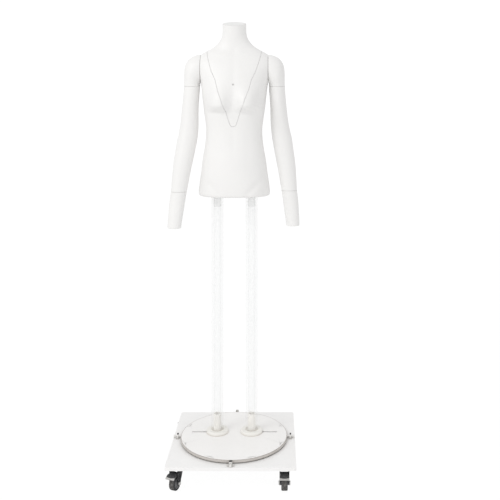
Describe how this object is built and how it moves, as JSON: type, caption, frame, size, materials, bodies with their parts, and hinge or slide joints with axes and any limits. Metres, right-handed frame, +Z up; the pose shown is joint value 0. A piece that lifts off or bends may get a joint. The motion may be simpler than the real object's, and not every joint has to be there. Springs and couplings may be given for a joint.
{
  "type": "display mannequin on turntable base",
  "caption": "Headless female display torso with lift-out neck and chest insert and pull-off arms, on clear tube legs, a turning disc and a castored square base.",
  "frame": {"origin": "on the floor under the turntable axis", "axes": "+Z up; front of the body towards -Y; +X to the viewer's right when seen from the front"},
  "size_m": [0.5358, 0.5343, 1.818],
  "materials": {
    "board_white": "satin white laminate",
    "disc_white": "satin white laminate, slightly warm",
    "edge_band": "brushed metal edge",
    "zinc_steel": "zinc plated",
    "ball_steel": "polished",
    "cage_brass": "stamped",
    "stop_metal": "brushed",
    "caster_zinc": "zinc plated",
    "hip_board": "plain board",
    "socket_steel": "turned",
    "cap_grey": "satin grey",
    "button_dark": "satin dark grey",
    "body_white": "satin white paint on moulded plastic",
    "caster_black": "black powder coat",
    "axle_steel": "zinc plated",
    "hub_grey": "moulded",
    "tyre_rubber": "moulded tread",
    "brake_black": "black coat, worn edge",
    "flange_ivory": "ivory, satin",
    "stub_beige": "warm satin",
    "clear_acrylic": "clear, polished",
    "leg_cap_white": "satin white"
  },
  "bodies": {
    "base": {"base_board": "board_white", "bearing_lower_race": "zinc_steel", "bearing_screws": "zinc_steel", "index_stops": "stop_metal", "index_stop_screws": "zinc_steel", "caster_plates": "caster_zinc", "caster_screws": "zinc_steel"},
    "turntable": {"turntable_disc": "disc_white", "turntable_edge_band": "edge_band", "disc_screws": "zinc_steel", "bearing_upper_race": "zinc_steel"},
    "ball_cage": {"bearing_cage": "cage_brass", "bearing_balls": "ball_steel"},
    "stop_right": {"index_pin_right": "stop_metal"},
    "stop_back": {"index_pin_back": "stop_metal"},
    "stop_left": {"index_pin_left": "stop_metal"},
    "stop_front": {"index_pin_front": "stop_metal"},
    "swivel_front_right": {"caster_fork_front_right": "caster_black", "caster_axle_front_right": "axle_steel"},
    "wheel_front_right": {"caster_hub_front_right": "hub_grey", "caster_tyre_front_right": "tyre_rubber"},
    "brake_front_right": {"caster_brake_front_right": "brake_black"},
    "swivel_front_left": {"caster_fork_front_left": "caster_black", "caster_axle_front_left": "axle_steel"},
    "wheel_front_left": {"caster_hub_front_left": "hub_grey", "caster_tyre_front_left": "tyre_rubber"},
    "brake_front_left": {"caster_brake_front_left": "brake_black"},
    "swivel_back_right": {"caster_fork_back_right": "caster_black", "caster_axle_back_right": "axle_steel"},
    "wheel_back_right": {"caster_hub_back_right": "hub_grey", "caster_tyre_back_right": "tyre_rubber"},
    "brake_back_right": {"caster_brake_back_right": "brake_black"},
    "swivel_back_left": {"caster_fork_back_left": "caster_black", "caster_axle_back_left": "axle_steel"},
    "wheel_back_left": {"caster_hub_back_left": "hub_grey", "caster_tyre_back_left": "tyre_rubber"},
    "brake_back_left": {"caster_brake_back_left": "brake_black"},
    "leg_left": {"leg_foot_left": "flange_ivory", "leg_stub_left": "stub_beige", "leg_tube_left": "clear_acrylic", "leg_cap_left": "leg_cap_white", "leg_clamp_left": "zinc_steel"},
    "leg_right": {"leg_foot_right": "flange_ivory", "leg_stub_right": "stub_beige", "leg_tube_right": "clear_acrylic", "leg_cap_right": "leg_cap_white", "leg_clamp_right": "zinc_steel"},
    "torso": {"torso_shell": "body_white", "torso_hip_plate": "hip_board", "torso_plate_screws": "zinc_steel", "shoulder_sockets": "socket_steel"},
    "insert": {"neck_insert": "body_white", "neck_cap": "cap_grey"},
    "button": {"release_button": "button_dark"},
    "shoulder_left": {"shoulder_cap_left": "body_white"},
    "arm_left": {"arm_left": "body_white"},
    "forearm_left": {"forearm_end_left": "body_white"},
    "shoulder_right": {"shoulder_cap_right": "body_white"},
    "arm_right": {"arm_right": "body_white"},
    "forearm_right": {"forearm_end_right": "body_white"}
  },
  "joints": [
    {"name": "turntable_spin", "type": "hinge", "parent": "base", "child": "turntable", "pos_m": [0, 0, 0.0975], "axis": [0, 0, 1], "continuous": true},
    {"name": "ball_cage_spin", "type": "hinge", "parent": "base", "child": "ball_cage", "pos_m": [0, 0, 0.0975], "axis": [0, 0, 1], "continuous": true},
    {"name": "index_pin_right_slide", "type": "slide", "parent": "base", "child": "stop_right", "axis": [-1, 0, 0], "range_m": [0, 0.006]},
    {"name": "index_pin_back_slide", "type": "slide", "parent": "base", "child": "stop_back", "axis": [0, -1, 0], "range_m": [0, 0.006]},
    {"name": "index_pin_left_slide", "type": "slide", "parent": "base", "child": "stop_left", "axis": [1, 0, 0], "range_m": [0, 0.006]},
    {"name": "index_pin_front_slide", "type": "slide", "parent": "base", "child": "stop_front", "axis": [0, 1, 0], "range_m": [0, 0.006]},
    {"name": "caster_swivel_front_right", "type": "hinge", "parent": "base", "child": "swivel_front_right", "pos_m": [0.205, -0.205, 0.078], "axis": [0, 0, 1], "continuous": true},
    {"name": "wheel_roll_front_right", "type": "hinge", "parent": "swivel_front_right", "child": "wheel_front_right", "pos_m": [0.205, -0.225, 0.0275], "axis": [1, 0, 0], "continuous": true},
    {"name": "brake_tip_front_right", "type": "hinge", "parent": "swivel_front_right", "child": "brake_front_right", "pos_m": [0.205, -0.227, 0.066], "axis": [1, 0, 0], "range_deg": [0, 20]},
    {"name": "caster_swivel_front_left", "type": "hinge", "parent": "base", "child": "swivel_front_left", "pos_m": [-0.205, -0.205, 0.078], "axis": [0, 0, 1], "continuous": true},
    {"name": "wheel_roll_front_left", "type": "hinge", "parent": "swivel_front_left", "child": "wheel_front_left", "pos_m": [-0.21249, -0.22354, 0.0275], "axis": [0.9272, -0.3746, 0], "continuous": true},
    {"name": "brake_tip_front_left", "type": "hinge", "parent": "swivel_front_left", "child": "brake_front_left", "pos_m": [-0.21324, -0.2254, 0.066], "axis": [0.9272, -0.3746, 0], "range_deg": [0, 20]},
    {"name": "caster_swivel_back_right", "type": "hinge", "parent": "base", "child": "swivel_back_right", "pos_m": [0.205, 0.205, 0.078], "axis": [0, 0, 1], "continuous": true},
    {"name": "wheel_roll_back_right", "type": "hinge", "parent": "swivel_back_right", "child": "wheel_back_right", "pos_m": [0.205, 0.225, 0.0275], "axis": [-1, 0, 0], "continuous": true},
    {"name": "brake_tip_back_right", "type": "hinge", "parent": "swivel_back_right", "child": "brake_back_right", "pos_m": [0.205, 0.227, 0.066], "axis": [-1, 0, 0], "range_deg": [0, 20]},
    {"name": "caster_swivel_back_left", "type": "hinge", "parent": "base", "child": "swivel_back_left", "pos_m": [-0.205, 0.205, 0.078], "axis": [0, 0, 1], "continuous": true},
    {"name": "wheel_roll_back_left", "type": "hinge", "parent": "swivel_back_left", "child": "wheel_back_left", "pos_m": [-0.22138, 0.21647, 0.0275], "axis": [-0.5736, -0.8192, 0], "continuous": true},
    {"name": "brake_tip_back_left", "type": "hinge", "parent": "swivel_back_left", "child": "brake_back_left", "pos_m": [-0.22302, 0.21762, 0.066], "axis": [-0.5736, -0.8192, 0], "range_deg": [0, 20]},
    {"name": "leg_slide_left", "type": "slide", "parent": "turntable", "child": "leg_left", "axis": [-1, 0, 0], "range_m": [0, 0.04]},
    {"name": "leg_slide_right", "type": "slide", "parent": "turntable", "child": "leg_right", "axis": [1, 0, 0], "range_m": [0, 0.04]},
    {"name": "torso_lift", "type": "slide", "parent": "turntable", "child": "torso", "axis": [0, 0, 1], "range_m": [0, 0.08]},
    {"name": "insert_lift", "type": "slide", "parent": "torso", "child": "insert", "axis": [0, 0, 1], "range_m": [0, 0.345]},
    {"name": "release_button_press", "type": "slide", "parent": "insert", "child": "button", "axis": [0, 1, 0], "range_m": [0, 0.003]},
    {"name": "shoulder_swing_left", "type": "hinge", "parent": "torso", "child": "shoulder_left", "pos_m": [-0.14, 0.022, 1.617], "axis": [-1, 0, 0], "range_deg": [-15, 45]},
    {"name": "arm_pull_left", "type": "slide", "parent": "shoulder_left", "child": "arm_left", "axis": [0, 0, -1], "range_m": [0, 0.04]},
    {"name": "forearm_pull_left", "type": "slide", "parent": "arm_left", "child": "forearm_left", "axis": [0, 0, -1], "range_m": [0, 0.04]},
    {"name": "shoulder_swing_right", "type": "hinge", "parent": "torso", "child": "shoulder_right", "pos_m": [0.14, 0.022, 1.617], "axis": [-1, 0, 0], "range_deg": [-15, 45]},
    {"name": "arm_pull_right", "type": "slide", "parent": "shoulder_right", "child": "arm_right", "axis": [0, 0, -1], "range_m": [0, 0.04]},
    {"name": "forearm_pull_right", "type": "slide", "parent": "arm_right", "child": "forearm_right", "axis": [0, 0, -1], "range_m": [0, 0.04]}
  ],
  "couplings": [
    {"joint": "ball_cage_spin", "follows": "turntable_spin", "ratio": 0.5}
  ]
}
